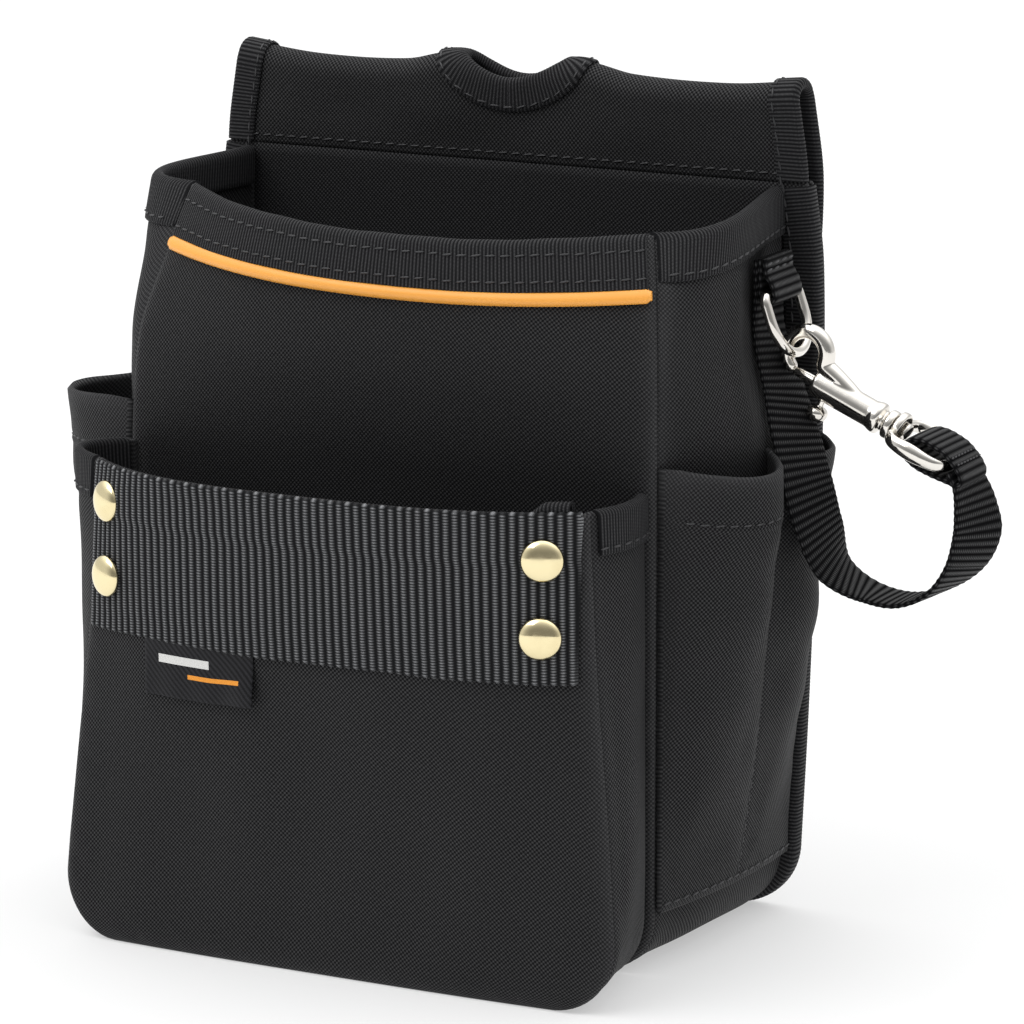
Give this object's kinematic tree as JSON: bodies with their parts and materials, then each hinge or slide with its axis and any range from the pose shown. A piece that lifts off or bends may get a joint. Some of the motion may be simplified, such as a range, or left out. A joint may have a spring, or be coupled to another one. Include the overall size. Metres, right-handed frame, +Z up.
{
  "type": "tool pouch",
  "caption": "Belt-hung electrician's tool pouch of woven nylon: large rear compartment, riveted front pouch, divided side pockets, and a snap hook with strap on a D-ring.",
  "frame": {"origin": "centre of the main compartment's flat underside", "axes": "+Z up towards the mouth, +Y back towards the wearer, +X towards the side that carries the D-ring and hook"},
  "size_m": [0.2922, 0.1511, 0.2611],
  "materials": {
    "nylon": "coated plain-weave nylon, slight sheen",
    "binding": "ribbed woven tape, stitched",
    "webbing": "heavy ribbed webbing",
    "piping": "smooth orange vinyl",
    "label": "fine woven satin tag",
    "board": "polyethylene stiffener",
    "rivet_brass": "polished pale brass plate",
    "nickel": "bright nickel plate",
    "spring_steel": "drawn wire"
  },
  "bodies": {
    "pouch": {"back_panel": "nylon", "back_board": "board", "back_outer_panel": "nylon", "back_edge_tape": "binding", "belt_flap": "nylon", "flap_notch_tape": "binding", "base_board": "board", "main_front_panel": "nylon", "main_gusset": "nylon", "main_mouth_tape": "binding", "orange_piping": "piping", "front_pouch_panel": "nylon", "front_pouch_gusset": "nylon", "front_mouth_tape": "binding", "webbing_band": "webbing", "label_tag": "label", "flap_tape_left": "binding", "gusset_tape_left": "binding", "front_gusset_tape_left": "binding", "side_pocket_left": "nylon", "flap_tape_right": "binding", "gusset_tape_right": "binding", "front_gusset_tape_right": "binding", "side_pocket_right": "nylon", "rivet_cap_right_upper": "rivet_brass", "rivet_washer_right_upper": "rivet_brass", "rivet_cap_right_lower": "rivet_brass", "rivet_washer_right_lower": "rivet_brass", "rivet_cap_left_upper": "rivet_brass", "rivet_washer_left_upper": "rivet_brass", "rivet_cap_left_lower": "rivet_brass", "rivet_washer_left_lower": "rivet_brass", "ring_tab": "webbing", "hanging_strap": "webbing"},
    "ring": {"d_ring": "nickel"},
    "hook": {"hook_body": "nickel", "bolt_spring": "spring_steel"},
    "bolt": {"hook_bolt": "nickel"},
    "eye": {"swivel_eye": "nickel", "strap_end_loop": "webbing"}
  },
  "joints": [
    {"name": "ring_swing", "type": "hinge", "parent": "pouch", "child": "ring", "pos_m": [0.1033, 0.0185, 0.201], "axis": [0, 1, 0], "range_deg": [-70, 6], "deforming": ["hanging_strap"]},
    {"name": "hook_swing", "type": "hinge", "parent": "ring", "child": "hook", "pos_m": [0.10949, 0.0185, 0.18293], "axis": [0, 1, 0], "range_deg": [-50, 12]},
    {"name": "bolt_slide", "type": "slide", "parent": "hook", "child": "bolt", "axis": [0.9143, 0, -0.4051], "range_m": [0, 0.0065], "stiffness_N_per_m": 350, "springref_m": -0.004, "deforming": ["bolt_spring"]},
    {"name": "eye_swivel", "type": "hinge", "parent": "hook", "child": "eye", "pos_m": [0.10722, 0.0185, 0.17781], "axis": [0.9143, 0, -0.4051], "range_deg": [-75, 75]}
  ]
}
